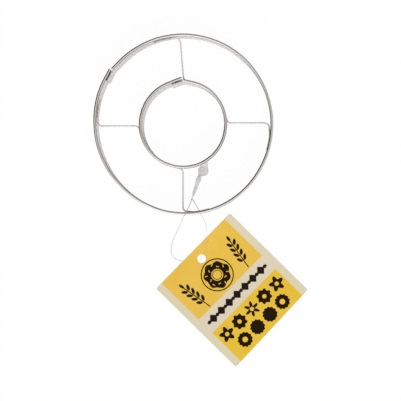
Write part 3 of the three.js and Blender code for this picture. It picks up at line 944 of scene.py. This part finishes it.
def lock_plug():
    """The shoulder and tapered stem, and the barbed shaft in the bore"""
    tip = COLLAR_REACH - BORE_DEPTH + PLUG_CLEARANCE
    point = STEM_END - STEM_POINT
    barb, shaft, shoulder, ease = BORE / 2 - PLUG_CLEARANCE, SHAFT / 2, SHOULDER / 2, PLUG_EASE
    # Radius and place along the axis: barb, shaft, shoulder and the start of the stem
    profile = [
        (0.0, tip), (0.16, tip + 0.03), (barb, tip + 0.8), (barb, tip + 0.9), (shaft, tip + 0.95),
        (shaft, SHOULDER_FROM), (shoulder - ease, SHOULDER_FROM), (shoulder, SHOULDER_FROM + ease),
        (shoulder, STEM_FROM - ease), (shoulder - ease, STEM_FROM), (STEM / 2 + 0.1, STEM_FROM),
        (STEM / 2, STEM_FROM + ease),
    ]
    for i in range(1, 9):
        share = i / 8
        along = STEM_FROM + ease + (point - STEM_FROM - ease) * share
        profile.append((STEM / 2 + (STEM_THIN - STEM) / 2 * share, along))
    for i in range(1, 9):
        share = i / 8
        radius = STRING / 2 + (STEM_THIN - STRING) / 2 * (1 - share ** 1.3)
        profile.append((radius, point + STEM_POINT * share))
    profile += [(STRING / 2, STEM_TIP), (0.0, STEM_TIP)]
    return set_in_lock(piece("nylon_plug", *turned(profile, 40)))


def string_points():
    place, turn = lock_frame()
    turned_by = turn.to_matrix()

    def end(drop):
        return place / MM + turned_by @ Vector((STRING_START, 0.0, -drop))

    return curve_through([end(0.0), *STRING_ROUTE, end(TAIL_OFFSET)], 10)


def loop_string():
    points = string_points()
    data = bpy.data.curves.new("nylon_string", "CURVE")
    data.dimensions = "3D"
    data.bevel_depth = STRING_SHOWN / 2 * MM
    data.bevel_resolution = 3
    data.use_fill_caps = True
    spline = data.splines.new("POLY")
    spline.points.add(len(points) - 1)
    for knot, point in zip(spline.points, points):
        knot.co = (point.x * MM, point.y * MM, max(point.z, STRING_SHOWN / 2 + STRING_LIFT) * MM, 1.0)
    made = bpy.data.objects.new("nylon_string", data)
    bpy.context.collection.objects.link(made)
    return made, points


def outline(inset):
    """The card's edge, in its own frame"""
    r = CARD_CORNER
    top, bottom = HOLE_DROP - r, HOLE_DROP - CARD_HEIGHT + r
    right, left = CARD_WIDTH / 2 - HOLE_ASIDE - r, r - CARD_WIDTH / 2 - HOLE_ASIDE
    found = []
    corners = ((right, top), (left, top), (left, bottom - CARD_SKEW / 2), (right, bottom + CARD_SKEW / 2))
    for quarter, (x, y) in enumerate(corners):
        for i in range(9):
            angle = math.pi / 2 * (quarter + i / 8)
            found.append((x + (r - inset) * math.cos(angle), y + (r - inset) * math.sin(angle)))
    return found


def hole_edge(grow):
    radius = HOLE / 2 + grow
    turns = [2 * math.pi * i / 48 for i in range(48)]
    return [(radius * math.cos(turn), radius * math.sin(turn)) for turn in turns]


def tag_card():
    """One leaf of card with eased edges: its first finish is the print's, the second the bare stock's"""
    e = CARD_EDGE_ROUND
    levels = [(e, 0.0), (0.0, e), (0.0, CARD_THICK - e), (e, CARD_THICK)]
    mesh = bmesh.new()

    def loop(points, height):
        return [mesh.verts.new((x * MM, y * MM, height * MM)) for x, y in points]

    rims = [(loop(outline(inset), height), loop(hole_edge(inset), height)) for inset, height in levels]

    def close(ring_verts):
        return [mesh.edges.new((v, ring_verts[(i + 1) % len(ring_verts)])) for i, v in enumerate(ring_verts)]

    for slot, (outer, inner) in ((1, rims[0]), (0, rims[-1])):
        edges = close(outer) + close(inner)
        filled = bmesh.ops.triangle_fill(mesh, use_beauty=True, use_dissolve=False, edges=edges)
        for found in filled["geom"]:
            if isinstance(found, bmesh.types.BMFace):
                found.material_index = slot
    for low, high in zip(rims, rims[1:]):
        for near, far in zip(low, high):
            for i, vert in enumerate(near):
                after = (i + 1) % len(near)
                side = mesh.faces.new((vert, near[after], far[after], far[i]))
                side.material_index = 1
                side.smooth = True
    bmesh.ops.recalc_face_normals(mesh, faces=mesh.faces)
    data = bpy.data.meshes.new("hang_tag")
    mesh.to_mesh(data)
    mesh.free()
    data.set_sharp_from_angle(angle=math.radians(CRISP))
    made = bpy.data.objects.new("hang_tag", data)
    bpy.context.collection.objects.link(made)
    made.location = (HOLE_PLACE[0] * MM, HOLE_PLACE[1] * MM, RIM_LIFT * MM)
    made.rotation_euler = (0, 0, math.radians(CARD_TURN))
    return made


# The stage

def make_floor():
    left, right, front, back = -0.125, 0.14, -0.17, 0.095
    mesh = bpy.data.meshes.new("floor")
    corners = [(left, front, 0), (right, front, 0), (right, back, 0), (left, back, 0)]
    mesh.from_pydata(corners, [], [(0, 1, 2, 3)])
    floor = bpy.data.objects.new("floor", mesh)
    bpy.context.collection.objects.link(floor)
    made, f = material("white_floor")
    seen = f.node("ShaderNodeLightPath", output="Is Camera Ray")
    mirrored = f.node("ShaderNodeLightPath", output="Is Glossy Ray")
    passed = f.node("ShaderNodeLightPath", output="Is Transmission Ray")
    paper = f.node("ShaderNodeBsdfDiffuse", None, {"Color": (0.9, 0.9, 0.9, 1)})
    white = f.node("ShaderNodeEmission", None, {"Color": (1, 1, 1, 1), "Strength": 1.0})
    share = (seen * 0.975).most(passed * 0.85).most(mirrored * 0.05)
    f.show(f.node("ShaderNodeMixShader", None, {0: share, 1: paper, 2: white}))
    mesh.materials.append(made)


def make_world():
    """White to the camera. Otherwise a studio: lit overhead, at the lower right and at the lower left."""
    world = bpy.data.worlds.new("studio")
    bpy.context.scene.world = world
    f = Finish(world)
    seen = f.node("ShaderNodeLightPath", output="Is Camera Ray")
    x, y, z = f.axes(f.node("ShaderNodeTexCoord", output="Generated"))
    lit_side = (x * 0.5 - y * 0.87).rise(-0.75, 0.75)
    across = x * y * 0.81 - (x * x - y * y) * 0.91
    side = (x * -0.7 - y * 0.71).rise(0.2, 0.85)
    level = (ZENITH * z.rise(0.72, 0.96) + ROUND * lit_side + DIM + ACROSS * across + SIDE * side).most(0.01)
    grey = f.vector(level, level, level)
    white = f.node("ShaderNodeBackground", None, {"Color": (1, 1, 1, 1), "Strength": 1.0})
    room = f.node("ShaderNodeBackground", None, {"Color": grey, "Strength": 1.0})
    f.show(f.node("ShaderNodeMixShader", None, {0: seen, 1: room, 2: white}), "ShaderNodeOutputWorld")


def lamp(name, place, target, size, power):
    data = bpy.data.lights.new(name, "AREA")
    data.shape = "DISK"
    data.size = size
    data.energy = power
    made = bpy.data.objects.new(name, data)
    made.location = place
    made.rotation_euler = (Vector(target) - Vector(place)).to_track_quat("-Z", "Y").to_euler()
    made.visible_glossy = False
    bpy.context.collection.objects.link(made)


def dress(made, body, node, slot, *finishes):
    for finish in finishes:
        made.data.materials.append(finish)
    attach(made, body)
    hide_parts(node)


# The loop first, and the length of its string
socket, plug = lock_socket(), lock_plug()
string, string_line = loop_string()
card = tag_card()
clear, milky = clear_nylon(), moulded_nylon()
dress(string, "tag_loop", "loop_string", "nylon", clear)
dress(socket, "tag_loop", "lock_socket", "nylon", milky)
dress(plug, "tag_loop", "lock_plug", "nylon", milky)
dress(card, "tag", "tag_card", "printed_card", printed_card(), card_stock())
STRING_LENGTH = sum((b - a).length for a, b in zip(string_line, string_line[1:])) * MM
tuple(string_line[0] * MM)

# The cutter
bright = tinplate()
outer_welds = ring_welds(OUTER_WALL, OUTER_LAP, OUTER_LAP_BEARING, True)
inner_welds = ring_welds(INNER_WALL, INNER_LAP, INNER_LAP_BEARING, False)
outer = ring(
    "outer_hoop", OUTER_WALL, OUTER_LAP, OUTER_LAP_BEARING, outer_welds, OUTER_WAVES, OUTER_LOBES, FLARE,
)
inner = ring(
    "inner_hoop", INNER_WALL, INNER_LAP, INNER_LAP_BEARING, inner_welds, INNER_WAVES, INNER_LOBES, 0.0,
)
dress(outer, "cutter", "outer_ring", "tinplate", bright)
dress(inner, "cutter", "inner_ring", "tinplate", bright)
wire = steel_wire()
for side, plan in SPOKES.items():
    dress(spoke("wire_" + side, *plan), "cutter", "spoke_" + side, "steel_wire", wire)

make_floor()
make_world()
lamp("key", (0.42, -0.73, 1.25), (0.0, -0.03, 0.0), 0.6, 9.7)
lamp("fill", (-0.4, 0.4, 1.7), (0.0, -0.03, 0.0), 1.4, 2.7)
bpy.context.scene.view_settings.view_transform = "Standard"
